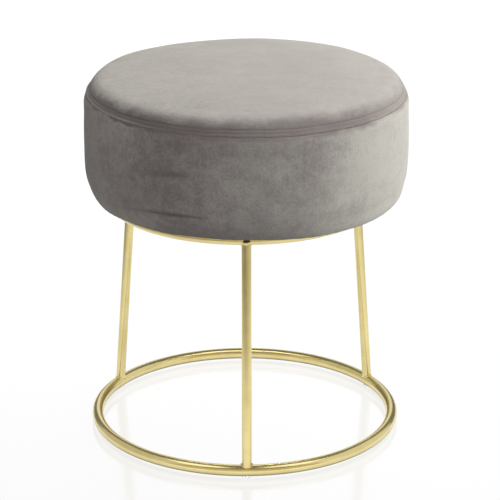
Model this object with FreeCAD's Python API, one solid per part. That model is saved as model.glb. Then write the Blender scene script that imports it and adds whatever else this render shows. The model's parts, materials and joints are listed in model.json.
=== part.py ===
import FreeCAD, Part
import math
import os

os.makedirs("parts", exist_ok=True)

# A round upholstered stool: a velvet drum seat on a welded tube frame with two rings and three legs.
# Millimetres. The floor is z = 0, the Z axis is the stool's own axis, and the front faces -Y.

# Overall sizes
SEAT_DIAMETER = 350.0
SEAT_THICKNESS = 135.5      # from the top of the frame to the middle of the crown
FRAME_HEIGHT = 264.5        # from the floor to the top of the upper ring

# Frame tubes
BASE_RING_INSET = 10.75     # from the seat's edge in to the tube's centre line
TOP_RING_INSET = 31.25      # from the seat's edge in to the tube's centre line
LEG_TUBE = 10.2
BASE_SHOULDER = 2.3         # how much thicker than the leg the base ring's tube is
TOP_SHOULDER = 0.6          # how much thicker than the leg the upper ring's tube is
TUBE_WALL = 1.2
LEG_NAMES = ("front", "rear_right", "rear_left")
FRONT_ANGLE = -90.0

# Glides between the base ring and the floor
GLIDE_THICKNESS = 1.5       # under the lowest line of the tube
GLIDE_LENGTH = 11.0
GLIDE_WIDTH = 6.0
GLIDE_EDGE = 0.5

# Tabs and fasteners that hold the seat
TAB_THICKNESS = 3.0
TAB_WIDTH = 24.0
TAB_REACH = 17.5            # from the inside of the ring in to the bolt's axis
TAB_LIP = 2.75              # from the tube's centre line in to the tab's outer end
BOLT_DIAMETER = 6.0
BOLT_LENGTH = 20.0
BOLT_HEAD = 11.0
BOLT_HEAD_HEIGHT = 4.0
BOLT_HEAD_EDGE = 1.2
SOCKET_FLATS = 4.0
SOCKET_DEPTH = 2.4
HOLE_CLEARANCE = 0.6
WASHER_DIAMETER = 14.0
WASHER_THICKNESS = 1.2
NUT_FLANGE = 19.0
NUT_FLANGE_THICKNESS = 1.5
NUT_BARREL = 8.0
NUT_BARREL_LENGTH = 9.0
NUT_CLEARANCE = 0.1

# Layers of the seat
VELVET = 1.2
DUST_COVER = 0.6
DUST_COVER_MARGIN = 2.4     # from the dust cover's edge out to the start of the seat's soft edge
TURN_UNDER = 18.0           # how far the band is pulled in under the base board
FOAM_PAD = 44.0             # at the middle of the crown
SIDE_FOAM = 15.0            # at the seat's widest line
SOFT_GAP = 0.3              # between a soft layer and what it lies against

# Wooden drum inside the seat
BASE_BOARD = 12.0
TOP_BOARD = 9.0
HOOP_WALL = 3.0
HOOP_CLEARANCE = 0.2        # between the boards' edge and the hoop
HOOP_SETBACK = 2.0          # from the base board's underside up to the hoop's edge
HOOP_JOINT = 2.0
POST_COUNT = 6
POST_WIDTH = 25.0
POST_SETBACK = 8.0          # from the boards' edge in to the post
POST_EDGE = 2.0
SCREW_DIAMETER = 4.0
SCREW_HEAD = 8.0
SCREW_CONE = 2.4
SCREW_LENGTH = 30.0
SCREW_POINT = 5.0

# Outline of the seat: tangent arcs from the underside, round the side, to the middle of the crown.
# A heading of 0 runs straight out, 90 straight up and 180 straight in to the axis.
TUCK_RADIUS = 30.0          # hollow where the band leaves the frame and droops
LOWER_EDGE_RADIUS = 9.0
LOWER_SIDE_RADIUS = 64.0
UPPER_EDGE_RADIUS = 26.0
TUCK_HEADING = -13.0
LOWER_HEADING = 58.0
SIDE_FOOT_HEADING = 88.0
SIDE_HEAD_HEADING = 93.0
SEAM_HEADING = 118.0
CROWN_HEADING = 176.0

# Places that follow from the sizes above
BASE_TUBE = LEG_TUBE + BASE_SHOULDER
TOP_TUBE = LEG_TUBE + TOP_SHOULDER
SEAT_RADIUS = SEAT_DIAMETER / 2
BASE_RADIUS = SEAT_RADIUS - BASE_RING_INSET
TOP_RADIUS = SEAT_RADIUS - TOP_RING_INSET
BASE_Z = GLIDE_THICKNESS + BASE_TUBE / 2
TOP_Z = FRAME_HEIGHT - TOP_TUBE / 2
BOLT_RADIUS = TOP_RADIUS - TOP_TUBE / 2 - TAB_REACH
BAND_Z = FRAME_HEIGHT + DUST_COVER
BOARD_Z = BAND_Z + VELVET
CROWN_Z = FRAME_HEIGHT + SEAT_THICKNESS
PAD_Z = CROWN_Z - VELVET - SOFT_GAP - FOAM_PAD
DRUM_RADIUS = SEAT_RADIUS - VELVET - SIDE_FOAM - 2 * SOFT_GAP
BOARD_RADIUS = DRUM_RADIUS - HOOP_WALL - HOOP_CLEARANCE
POST_RADIUS = BOARD_RADIUS - POST_SETBACK - POST_WIDTH / 2
POST_Z = BOARD_Z + BASE_BOARD
POST_HEIGHT = PAD_Z - TOP_BOARD - POST_Z

V = FreeCAD.Vector
ORIGIN = V(0, 0, 0)
UP = V(0, 0, 1)
LEG_STEP = 360.0 / len(LEG_NAMES)
POST_STEP = 360.0 / POST_COUNT


def sin(angle):
    return math.sin(math.radians(angle))


def cos(angle):
    return math.cos(math.radians(angle))


def polar(radius, angle, z):
    return V(radius * cos(angle), radius * sin(angle), z)


def turned(shape, angle):
    """A copy of a shape, turned about the stool's axis."""
    copy = shape.copy()
    copy.rotate(ORIGIN, UP, angle)
    return copy


def at_each_leg(shape):
    """The shape made at the front leg, repeated at every leg."""
    return [turned(shape, i * LEG_STEP) for i in range(len(LEG_NAMES))]


def disc(diameter, height, radius, angle, z):
    """An upright cylinder that stands at a place on a circle round the axis."""
    return Part.makeCylinder(diameter / 2, height, polar(radius, angle, z))


def revolved(edges):
    """A full turn of a closed outline in the plane y = 0."""
    wire = Part.Wire(Part.__sortEdges__(edges))
    return Part.Face(wire).revolve(ORIGIN, UP, 360).removeSplitter()


def line(start, end):
    return Part.LineSegment(start, end).toShape()


# Frame

def ring_solid(radius, tube, z):
    return Part.makeTorus(radius, tube / 2, V(0, 0, z))


def ring_tube(radius, tube, z):
    bore = tube - 2 * TUBE_WALL
    return ring_solid(radius, tube, z).cut(ring_solid(radius, bore, z))


def leg_rod(diameter):
    """A rod between the centre lines of both rings, at the front."""
    foot = polar(BASE_RADIUS, FRONT_ANGLE, BASE_Z)
    head = polar(TOP_RADIUS, FRONT_ANGLE, TOP_Z)
    axis = head - foot
    return Part.makeCylinder(diameter / 2, axis.Length, foot, axis)


def coped_leg(base, top):
    """A leg tube whose two ends are cut to the round of the rings."""
    rod = leg_rod(LEG_TUBE).cut(base).cut(top)
    return rod.cut(leg_rod(LEG_TUBE - 2 * TUBE_WALL))


def glide(base):
    """A curved pad with round ends, hollowed on top to take the tube."""
    half = GLIDE_WIDTH / 2
    turn = math.degrees((GLIDE_LENGTH - GLIDE_WIDTH) / 2 / BASE_RADIUS)
    first = FRONT_ANGLE - turn
    last = FRONT_ANGLE + turn
    inner = BASE_RADIUS - half
    outer = BASE_RADIUS + half
    far = math.degrees(half / BASE_RADIUS)
    sides = [
        Part.Arc(polar(outer, first, 0), polar(outer, FRONT_ANGLE, 0), polar(outer, last, 0)),
        Part.Arc(polar(outer, last, 0), polar(BASE_RADIUS, last + far, 0), polar(inner, last, 0)),
        Part.Arc(polar(inner, last, 0), polar(inner, FRONT_ANGLE, 0), polar(inner, first, 0)),
        Part.Arc(polar(inner, first, 0), polar(BASE_RADIUS, first - far, 0), polar(outer, first, 0)),
    ]
    outline = Part.Wire([side.toShape() for side in sides])
    pad = Part.Face(outline).extrude(V(0, 0, BASE_Z))
    floor_edges = [e for e in pad.Edges if e.BoundBox.ZMax < GLIDE_THICKNESS / 2]
    return pad.makeChamfer(GLIDE_EDGE, floor_edges).cut(base)


def mounting_tab(top):
    """A flat tab with a round inner end, its outer end cut to the round of the upper ring."""
    z = FRAME_HEIGHT - TAB_THICKNESS
    length = TOP_RADIUS - TAB_LIP - BOLT_RADIUS
    plate = Part.makeBox(length, TAB_WIDTH, TAB_THICKNESS, V(BOLT_RADIUS, -TAB_WIDTH / 2, z))
    end = disc(TAB_WIDTH, TAB_THICKNESS, BOLT_RADIUS, 0, z)
    hole = disc(BOLT_DIAMETER + HOLE_CLEARANCE, TAB_THICKNESS, BOLT_RADIUS, 0, z)
    tab = plate.fuse(end).removeSplitter().cut(hole)
    return turned(tab, FRONT_ANGLE).cut(top)


# Fasteners under the seat

def washer():
    z = FRAME_HEIGHT - TAB_THICKNESS - WASHER_THICKNESS
    body = disc(WASHER_DIAMETER, WASHER_THICKNESS, BOLT_RADIUS, FRONT_ANGLE, z)
    return body.cut(disc(BOLT_DIAMETER + HOLE_CLEARANCE, WASHER_THICKNESS, BOLT_RADIUS, FRONT_ANGLE, z))


def bolt():
    """A round-headed bolt that goes up through the tab, with a hexagon socket in its head."""
    seat_z = FRAME_HEIGHT - TAB_THICKNESS - WASHER_THICKNESS
    head_z = seat_z - BOLT_HEAD_HEIGHT
    head = disc(BOLT_HEAD, BOLT_HEAD_HEIGHT, BOLT_RADIUS, FRONT_ANGLE, head_z)
    rim = [e for e in head.Edges if e.BoundBox.ZMax < head_z + BOLT_HEAD_HEIGHT / 2]
    head = head.makeFillet(BOLT_HEAD_EDGE, rim)
    centre = polar(BOLT_RADIUS, FRONT_ANGLE, head_z)
    corner = SOCKET_FLATS / 2 / cos(30)
    hexagon = Part.makePolygon([centre + polar(corner, 60 * i, 0) for i in range(7)])
    socket = Part.Face(hexagon).extrude(V(0, 0, SOCKET_DEPTH))
    shank = disc(BOLT_DIAMETER, BOLT_LENGTH, BOLT_RADIUS, FRONT_ANGLE, seat_z)
    return head.cut(socket).fuse(shank).removeSplitter()


def t_nut():
    """A nut whose barrel stands in the base board and whose flange lies on it."""
    flange = disc(NUT_FLANGE, NUT_FLANGE_THICKNESS, BOLT_RADIUS, FRONT_ANGLE, POST_Z)
    barrel_z = POST_Z - NUT_BARREL_LENGTH
    barrel = disc(NUT_BARREL, NUT_BARREL_LENGTH, BOLT_RADIUS, FRONT_ANGLE, barrel_z)
    length = NUT_BARREL_LENGTH + NUT_FLANGE_THICKNESS
    bore = disc(BOLT_DIAMETER + NUT_CLEARANCE, length, BOLT_RADIUS, FRONT_ANGLE, barrel_z)
    return flange.fuse(barrel).removeSplitter().cut(bore)


# Wooden drum

def screw(radius, angle, z, way):
    """A countersunk screw whose flat head lies at z and whose point runs up or down."""
    head = SCREW_HEAD / 2
    shank = SCREW_DIAMETER / 2
    neck = SCREW_LENGTH - SCREW_POINT
    outline = [(0, 0), (head, 0), (shank, SCREW_CONE), (shank, neck), (0, SCREW_LENGTH), (0, 0)]
    wire = Part.makePolygon([V(r, 0, way * h) for r, h in outline])
    solid = Part.Face(wire).revolve(ORIGIN, UP, 360)
    solid.translate(polar(radius, angle, z))
    return solid


def post_angles():
    """Posts stand in pairs between the bolts, so none is over a bolt."""
    first = FRONT_ANGLE + POST_STEP / 2
    return [first + i * POST_STEP for i in range(POST_COUNT)]


def drum_screws():
    screws = []
    for angle in post_angles():
        screws.append(screw(POST_RADIUS, angle, BOARD_Z, 1))
        screws.append(screw(POST_RADIUS, angle, PAD_Z, -1))
    return screws


def drum_post(angle, screws):
    corner = V(POST_RADIUS - POST_WIDTH / 2, -POST_WIDTH / 2, POST_Z)
    post = Part.makeBox(POST_WIDTH, POST_WIDTH, POST_HEIGHT, corner)
    upright = [e for e in post.Edges if e.BoundBox.ZLength > POST_HEIGHT / 2]
    return turned(post.makeChamfer(POST_EDGE, upright), angle).cut(screws)


def base_board(screws):
    board = Part.makeCylinder(BOARD_RADIUS, BASE_BOARD, V(0, 0, BOARD_Z))
    hole = disc(NUT_BARREL + NUT_CLEARANCE, BASE_BOARD, BOLT_RADIUS, FRONT_ANGLE, BOARD_Z)
    return board.cut(at_each_leg(hole)).cut(screws)


def top_board(screws):
    board = Part.makeCylinder(BOARD_RADIUS, TOP_BOARD, V(0, 0, PAD_Z - TOP_BOARD))
    return board.cut(screws)


def drum_hoop():
    """A thin hoop round both boards, with its butt joint at the back."""
    z = BOARD_Z + HOOP_SETBACK
    height = PAD_Z - z
    hoop = Part.makeCylinder(DRUM_RADIUS, height, V(0, 0, z))
    hoop = hoop.cut(Part.makeCylinder(DRUM_RADIUS - HOOP_WALL, height, V(0, 0, z)))
    joint = Part.makeBox(HOOP_JOINT, SEAT_RADIUS, height, V(-HOOP_JOINT / 2, 0, z))
    return hoop.cut(joint)


# Soft parts

def seat_arcs():
    """Radius, first heading and last heading of each arc of the seat's outline."""
    lower = [
        (-TUCK_RADIUS, 0.0, TUCK_HEADING),
        (LOWER_EDGE_RADIUS, TUCK_HEADING, LOWER_HEADING),
        (LOWER_SIDE_RADIUS, LOWER_HEADING, SIDE_FOOT_HEADING),
    ]
    low_rise = sum(r * (cos(a) - cos(b)) for r, a, b in lower)
    edge_rise = UPPER_EDGE_RADIUS * (cos(SIDE_HEAD_HEADING) - cos(CROWN_HEADING))
    edge_run = UPPER_EDGE_RADIUS * (sin(SIDE_HEAD_HEADING) - sin(CROWN_HEADING))
    # The side's own radius is the one that brings the crown to its height.
    slope = math.tan(math.radians(180 - CROWN_HEADING) / 2)
    crown_rise = (SEAT_RADIUS - edge_run) * slope
    rise = CROWN_Z - BAND_Z - low_rise - edge_rise - crown_rise
    lean = 1 - sin(SIDE_HEAD_HEADING)
    side = rise / (cos(SIDE_FOOT_HEADING) - cos(SIDE_HEAD_HEADING) - lean * slope)
    crown = (SEAT_RADIUS - side * lean - edge_run) / sin(CROWN_HEADING)
    upper = [
        (side, SIDE_FOOT_HEADING, SIDE_HEAD_HEADING),
        (UPPER_EDGE_RADIUS, SIDE_HEAD_HEADING, SEAM_HEADING),
        (UPPER_EDGE_RADIUS, SEAM_HEADING, CROWN_HEADING),
        (crown, CROWN_HEADING, 180.0),
    ]
    return lower + upper


def tuck_radius():
    """Where the flat underside ends and the seat's soft edge starts."""
    arcs = seat_arcs()
    run = sum(r * (sin(b) - sin(a)) for r, a, b in arcs[:3])
    run += arcs[3][0] * (1 - sin(SIDE_FOOT_HEADING))
    return SEAT_RADIUS - run


def outline_arcs(depth):
    """The seat's outline as arc edges, moved inwards by a depth, with their end points."""
    point = V(tuck_radius(), 0, BAND_Z + depth)
    edges = []
    points = [point]
    for radius, first, last in seat_arcs():
        reach = radius - depth
        middle = (first + last) / 2

        def along(heading):
            return point + V(reach * (sin(heading) - sin(first)), 0, reach * (cos(first) - cos(heading)))

        end = along(last)
        edges.append(Part.Arc(point, along(middle), end).toShape())
        points.append(end)
        point = end
    return edges, points


SEAM = 5                    # the seam lies between this many arcs below it and the rest above it


def side_band():
    """The velvet band: turned in under the board, round the lower edge and up to the seam."""
    outer, outer_points = outline_arcs(0)
    inner, inner_points = outline_arcs(VELVET)
    hem = tuck_radius() - TURN_UNDER
    low = V(hem, 0, BAND_Z)
    high = V(hem, 0, BOARD_Z)
    ends = [
        line(low, outer_points[0]),
        line(outer_points[SEAM], inner_points[SEAM]),
        line(inner_points[0], high),
        line(high, low),
    ]
    return revolved(outer[:SEAM] + inner[:SEAM] + ends)


def top_cover():
    """The round velvet panel, from the seam over the upper edge to the crown."""
    outer, outer_points = outline_arcs(0)
    inner, inner_points = outline_arcs(VELVET)
    ends = [
        line(outer_points[SEAM], inner_points[SEAM]),
        line(outer_points[-1], inner_points[-1]),
    ]
    return revolved(outer[SEAM:] + inner[SEAM:] + ends)


def filling():
    """All that the velvet encloses, as one solid just clear of it."""
    inner, points = outline_arcs(VELVET + SOFT_GAP)
    foot = V(0, 0, BOARD_Z + SOFT_GAP)
    return revolved(inner + [line(points[-1], foot), line(foot, points[0])])


def seat_foam_pad(inside):
    size = 2 * SEAT_DIAMETER
    above = Part.makeBox(size, size, SEAT_THICKNESS, V(-size / 2, -size / 2, PAD_Z))
    return inside.common(above)


def side_foam_wrap(inside):
    size = 2 * SEAT_DIAMETER
    above = Part.makeBox(size, size, SEAT_THICKNESS, V(-size / 2, -size / 2, PAD_Z))
    radius = DRUM_RADIUS + SOFT_GAP
    core = Part.makeCylinder(radius, 2 * SEAT_THICKNESS, V(0, 0, BOARD_Z - SEAT_THICKNESS))
    return inside.cut(above).cut(core)


def dust_cover():
    cloth = Part.makeCylinder(tuck_radius() - DUST_COVER_MARGIN, DUST_COVER, V(0, 0, FRAME_HEIGHT))
    hole = disc(BOLT_DIAMETER + HOLE_CLEARANCE, DUST_COVER, BOLT_RADIUS, FRONT_ANGLE, FRAME_HEIGHT)
    return cloth.cut(at_each_leg(hole))


def build():
    base = ring_solid(BASE_RADIUS, BASE_TUBE, BASE_Z)
    top = ring_solid(TOP_RADIUS, TOP_TUBE, TOP_Z)
    screws = drum_screws()
    inside = filling()
    nodes = {
        "base_ring": ring_tube(BASE_RADIUS, BASE_TUBE, BASE_Z),
        "top_ring": ring_tube(TOP_RADIUS, TOP_TUBE, TOP_Z),
        "mounting_bolts": Part.makeCompound(at_each_leg(bolt())),
        "bolt_washers": Part.makeCompound(at_each_leg(washer())),
        "t_nuts": Part.makeCompound(at_each_leg(t_nut())),
        "base_board": base_board(screws),
        "top_board": top_board(screws),
        "drum_posts": Part.makeCompound([drum_post(angle, screws) for angle in post_angles()]),
        "drum_screws": Part.makeCompound(screws),
        "drum_hoop": drum_hoop(),
        "seat_foam_pad": seat_foam_pad(inside),
        "side_foam_wrap": side_foam_wrap(inside),
        "top_cover": top_cover(),
        "side_band": side_band(),
        "dust_cover": dust_cover(),
    }
    repeated = {
        "leg": coped_leg(base, top),
        "glide": glide(base),
        "mounting_tab": mounting_tab(top),
    }
    for piece, shape in repeated.items():
        for name, copy in zip(LEG_NAMES, at_each_leg(shape)):
            nodes[piece + "_" + name] = copy
    return nodes


for node, shape in build().items():
    shape.exportStep("parts/" + node + ".step")
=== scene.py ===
# %% [markdown]
# # A round velvet stool on a satin gold frame
#
# The stool has a thick round seat in grey-taupe velvet. It stands on two rings and three leaning
# legs. The metal frame, the fasteners and the wooden drum come ready and exact from the CAD model.
# Blender adds what CAD leaves plain: the soft seat, its seams and stitches, the welds, the cloth and
# staples under the seat, every finish, and the light.

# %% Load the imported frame
import json
import math
from types import SimpleNamespace

import bmesh
import bpy
import numpy as np
from mathutils import Matrix, Vector, noise

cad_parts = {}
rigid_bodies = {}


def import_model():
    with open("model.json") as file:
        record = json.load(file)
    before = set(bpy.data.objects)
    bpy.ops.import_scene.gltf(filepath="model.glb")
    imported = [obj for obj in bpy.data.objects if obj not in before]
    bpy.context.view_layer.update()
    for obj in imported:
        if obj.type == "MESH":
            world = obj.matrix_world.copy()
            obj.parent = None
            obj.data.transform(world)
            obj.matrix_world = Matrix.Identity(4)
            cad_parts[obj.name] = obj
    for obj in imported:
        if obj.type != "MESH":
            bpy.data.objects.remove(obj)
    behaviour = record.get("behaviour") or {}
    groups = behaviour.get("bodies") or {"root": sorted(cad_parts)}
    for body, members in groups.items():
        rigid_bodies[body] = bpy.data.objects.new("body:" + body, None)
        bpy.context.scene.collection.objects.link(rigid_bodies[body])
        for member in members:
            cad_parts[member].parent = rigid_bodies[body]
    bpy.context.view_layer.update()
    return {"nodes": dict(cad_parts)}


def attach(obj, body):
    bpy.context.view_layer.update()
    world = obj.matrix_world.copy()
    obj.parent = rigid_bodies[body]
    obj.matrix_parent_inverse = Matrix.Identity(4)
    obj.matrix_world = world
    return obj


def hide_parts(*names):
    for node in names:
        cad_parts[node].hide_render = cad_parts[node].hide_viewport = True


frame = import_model()
nodes = frame["nodes"]
scene = bpy.context.scene

# %% [markdown]
# ## The camera
#
# The picture was taken from in front and a little above, with a long lens from far away: the ovals
# of the two rings hardly differ in shape. The lens and the place were worked out from the rings'
# ovals and the seat's outline. The front leg stands a little right of the rear legs' middle, so the
# camera looks from just left of straight ahead, and the whole stool stands a few pixels left of the
# picture's middle.

# %% Place the camera
MM = 0.001
PICTURE_SIDE = 500
SENSOR = 36.0
FOCAL_PIXELS = 2415.4
CAMERA_RISE = math.radians(19.72)
CAMERA_TURN = math.radians(-0.90)
CAMERA_DISTANCE = 2.647
AIM = Vector((0.0059, 0.0, 0.1965))

to_camera = Vector((0, -math.cos(CAMERA_RISE), math.sin(CAMERA_RISE)))
to_camera.rotate(Matrix.Rotation(CAMERA_TURN, 3, "Z"))
bpy.ops.object.camera_add(
    location=AIM + to_camera * CAMERA_DISTANCE,
    rotation=(math.pi / 2 - CAMERA_RISE, 0, CAMERA_TURN),
)
camera = bpy.context.object
camera.name = "picture_camera"
camera.data.sensor_width = SENSOR
camera.data.lens = SENSOR * FOCAL_PIXELS / PICTURE_SIDE
camera.data.clip_end = 50
scene.camera = camera
print("camera lens:", round(camera.data.lens, 1), "mm, height:", round(camera.location.z, 3), "m")

# %% [markdown]
# ## Working habits
#
# An operator acts on everything that is selected, so each piece starts from an empty selection.
# These few helpers add a primitive, pick points or edges by their place, and read or move all the
# points of a mesh at once, which is far quicker than one by one.

# %% Helpers for picking and for points
def clear_selection():
    if bpy.context.mode != "OBJECT":
        bpy.ops.object.mode_set(mode="OBJECT")
    bpy.ops.object.select_all(action="DESELECT")


def take(piece):
    """Makes a piece the only one selected, and the active one."""
    clear_selection()
    piece.select_set(True)
    bpy.context.view_layer.objects.active = piece


def new_piece(name, add, **size):
    """Adds a primitive and gives it its name."""
    clear_selection()
    add(**size)
    piece = bpy.context.object
    piece.name = piece.data.name = name
    return piece


def points_of(piece):
    flat = np.zeros(len(piece.data.vertices) * 3)
    piece.data.vertices.foreach_get("co", flat)
    return flat.reshape(-1, 3)


def normals_of(piece):
    flat = np.zeros(len(piece.data.vertices) * 3)
    piece.data.vertex_normals.foreach_get("vector", flat)
    return flat.reshape(-1, 3)


def set_points(piece, points):
    piece.data.vertices.foreach_set("co", points.ravel())
    piece.data.update()


print("helpers for points ready")

# %% [markdown]
# ## More habits
#
# Edit mode starts with only what the next operator should act on. Modifiers are applied at once, so
# that each piece ends as a plain mesh, and a last helper merges doubles and turns the faces outwards.

# %% Helpers for editing and for smooth steps
TINY = 1e-6               # metres: points nearer than this count as one


def edit_selected(piece, kind, test):
    """Goes into edit mode with only those vertices, edges or faces selected that pass a test."""
    take(piece)
    bpy.ops.object.mode_set(mode="EDIT")
    bpy.ops.mesh.select_mode(type=kind)
    bpy.ops.mesh.select_all(action="DESELECT")
    shape = bmesh.from_edit_mesh(piece.data)
    members = {"VERT": shape.verts, "EDGE": shape.edges, "FACE": shape.faces}[kind]
    chosen = [member for member in members if test(member)]
    for member in chosen:
        member.select_set(True)
    shape.select_flush_mode()
    bmesh.update_edit_mesh(piece.data)
    return len(chosen)


def apply_modifier(piece, kind, **settings):
    """Adds a modifier, sets it up and applies it."""
    take(piece)
    modifier = piece.modifiers.new(kind.title(), kind)
    for key, value in settings.items():
        setattr(modifier, key, value)
    bpy.ops.object.modifier_apply(modifier=modifier.name)


def tidy_mesh(piece, smooth_angle):
    """Merges doubles, turns the faces outwards and smooths all but sharp edges."""
    edit_selected(piece, "VERT", lambda vertex: True)
    bpy.ops.mesh.remove_doubles(threshold=TINY)
    bpy.ops.mesh.normals_make_consistent(inside=False)
    bpy.ops.object.mode_set(mode="OBJECT")
    bpy.ops.object.shade_smooth_by_angle(angle=math.radians(smooth_angle))


def ease(x, low, high):
    """0 below low, 1 above high, and a smooth step between."""
    t = np.clip((x - low) / (high - low), 0, 1)
    return t * t * (3 - 2 * t)


def hump(x, width):
    """1 at 0, falling away smoothly on both sides."""
    return np.exp(-((x / width) ** 2))


print("helpers for editing ready")

# %% [markdown]
# ## The seat's outline
#
# A real seat of this kind is foam round a wooden drum, with a velvet band pulled tight round the side
# and a round velvet panel on top. Its outline is a chain of arcs that run smoothly into each other,
# the same chain as in the CAD model. Each arc has a radius and a first and last heading: 0 runs
# outwards, 90 straight up, 180 back to the axis. Walking along the chain gives the place of any point
# by its distance from the tuck, where the velvet leaves the frame. That distance also says what is
# seam, side or top.

# %% Walk along the outline
TUCK = (148.418, 265.1)   # radius and height in mm
OUTLINE_ARCS = [
    (-30.0, 0, -13),
    (9.0, -13, 58),
    (64.0, 58, 88),
    (804.517, 88, 93),
    (26.0, 93, 176),
    (2146.707, 176, 180),
]
SEAM_AT = 133.02          # distance along the outline, in mm
RIM_AT = 159.34           # where the round of the upper edge runs into the crown
RIM_RADIUS = 149.747
CROWN_TOP = 400.0
CROWN_RADIUS = OUTLINE_ARCS[-1][0]


def outline_point(distance):
    """Radius and height, in mm, at a distance along the outline from the tuck."""
    r, z = TUCK
    if distance < 0:
        return r + distance, z
    for radius, first, last in OUTLINE_ARCS:
        first, last = math.radians(first), math.radians(last)
        length = abs(radius * (last - first))
        here = first + min(distance, length) / radius
        if distance <= length:
            last = here
        r += radius * (math.sin(last) - math.sin(first))
        z += radius * (math.cos(first) - math.cos(last))
        distance -= length
        if distance <= 0:
            break
    return r, z


HEM = -18.0               # the band is pulled this far in under the seat
ROWS = [HEM, -9, 0, 3.4, 6.8, 10.5, 14.2, 18, 23, 29, 35, 38, 41, 44, 47]
ROWS += [54, 62, 70, 78, 86, 94, 102, 110, 117, 122]
ROWS += [124, 126, 128, 130, 132, 134, 136, 138, 140, 142, 145, 149, 154, RIM_AT, 167]
profile = [outline_point(distance) for distance in ROWS]
print("outline rows:", len(profile), "widest:", round(max(r for r, z in profile), 2), "mm")

# %% [markdown]
# ## Turning the seat
#
# One point is extruded along the outline like a pencil line, and Spin turns that line round the axis,
# as a lathe would. Spinning it right up to the middle would make a pole of thin triangles there,
# which pinch the light. So the line stops short, and Grid Fill closes the round hole with even
# squares, like woven cloth.

# %% Turn the velvet skin
AROUND = 128
SPIN_GAP = 1e-5           # metres: the last turned line meets the first within this

seat = new_piece("seat_cushion", bpy.ops.mesh.primitive_plane_add, size=2 * MM)
bpy.ops.object.mode_set(mode="EDIT")
bpy.ops.mesh.merge(type="CENTER")
bpy.ops.transform.translate(value=(profile[0][0] * MM, 0, profile[0][1] * MM))
for (r0, z0), (r1, z1) in zip(profile, profile[1:]):
    bpy.ops.mesh.extrude_region_move(
        TRANSFORM_OT_translate={"value": ((r1 - r0) * MM, 0, (z1 - z0) * MM)}
    )
bpy.ops.mesh.select_all(action="SELECT")
bpy.ops.mesh.spin(steps=AROUND, angle=2 * math.pi, center=(0, 0, 0), axis=(0, 0, 1))
bpy.ops.mesh.select_all(action="SELECT")
bpy.ops.mesh.remove_doubles(threshold=SPIN_GAP)
hole_r, hole_z = profile[-1]
count = edit_selected(
    seat, "EDGE", lambda edge: all(abs(v.co.z - hole_z * MM) < SPIN_GAP for v in edge.verts)
)
bpy.ops.mesh.fill_grid(span=AROUND // 4)
tidy_mesh(seat, 180)

points = points_of(seat)
radius = np.hypot(points[:, 0], points[:, 1]) / MM
crown = (points[:, 2] > hole_z * MM - TINY) & (radius < hole_r + 0.01)
height = CROWN_TOP - CROWN_RADIUS + np.sqrt(CROWN_RADIUS**2 - radius[crown] ** 2)
points[crown, 2] = height * MM
set_points(seat, points)
print("edges round the hole:", count, "faces:", len(seat.data.polygons))

# %% [markdown]
# ## A settled order
#
# Operators leave the order of edges and faces to chance, so it differs from run to run. The cloth
# simulation below adds up its forces in that order, where the least change in rounding grows into
# other ripples. Built anew with its faces sorted, the mesh and the ripples are the same each time.

# %% Sort the faces and edges
def settle_order(piece):
    """Builds a mesh anew with its faces, and so its edges, in the order of their points."""
    places = points_of(piece)
    faces = []
    for face in piece.data.polygons:
        corners = list(face.vertices)
        first = corners.index(min(corners))
        faces.append(corners[first:] + corners[:first])
    piece.data.clear_geometry()
    piece.data.from_pydata(places, [], sorted(faces), shade_flat=False)


settle_order(seat)
print("faces in a settled order:", len(seat.data.polygons))

# %% [markdown]
# ## Remembering where each point lies
#
# Later steps and the velvet's own pattern need to know how far along the outline a point is. The mesh
# can carry that number as an attribute, and subdividing the mesh fills in the points between.

# %% Store the distance along the outline
TOP_ABOVE = 390.0         # mm: what is higher, inside the rim, belongs to the crown
AT_A_TIME = 2000          # points compared at once, to spare memory


def distance_along(points):
    """Distance along the outline, in mm, of points that lie on or near it."""
    marks = np.concatenate([np.arange(HEM, 0, 0.5), np.arange(0, ROWS[-1] + 1, 0.25)])
    places = np.array([outline_point(mark) for mark in marks])
    r = np.hypot(points[:, 0], points[:, 1]) / MM
    z = points[:, 2] / MM
    found = np.empty(len(points))
    for i in range(0, len(points), AT_A_TIME):
        some = slice(i, i + AT_A_TIME)
        dr = r[some, None] - places[None, :, 0]
        dz = z[some, None] - places[None, :, 1]
        found[some] = marks[np.argmin(dr**2 + dz**2, axis=1)]
    flat_top = (r < RIM_RADIUS) & (z > TOP_ABOVE)
    found[flat_top] = RIM_AT + RIM_RADIUS - r[flat_top]
    return found


def store(piece, name, values):
    attribute = piece.data.attributes.new(name, "FLOAT", "POINT")
    attribute.data.foreach_set("value", values.astype(np.float32))


def stored(piece, name):
    values = np.zeros(len(piece.data.vertices), np.float32)
    piece.data.attributes[name].data.foreach_get("value", values)
    return values.astype(float)


along = distance_along(points)
store(seat, "along", along)
print("along the outline:", round(along.min(), 1), "to", round(along.max(), 1), "mm")

# %% [markdown]
# ## Filling the seat
#
# Foam pushes velvet out until the cloth is tight, and the seam holds it back. Blender's Cloth does
# the same: pressure swells the skin, and a vertex group pins what is sewn or stapled. The skin starts
# a little too small, and its band is cut a little too long, by an amount that changes softly from
# place to place, as in hand upholstery. The swell could be shaped by hand, but pressure finds by
# itself where the velvet is free to rise.

# %% Set up the cloth simulation
START_INSIDE = (1.6, 0.2) # mm that the band and the top panel start inside their outline
CUT_LARGER = 0.019        # the band is cut this much too long
PRESSURE = 4
SIMULATED_FRAMES = 20
TUCK_HOLDS = (4, 24)      # mm along the outline, from held to free
SEAM_HOLDS = (9, 26)      # mm from the seam, from held to free
SIDE_ENDS = (116, 130)    # mm along the outline, from the side to the top panel

free = ease(along, *TUCK_HOLDS) * ease(np.abs(along - SEAM_AT), *SEAM_HOLDS)
on_side = 1 - ease(along, *SIDE_ENDS)


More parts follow.
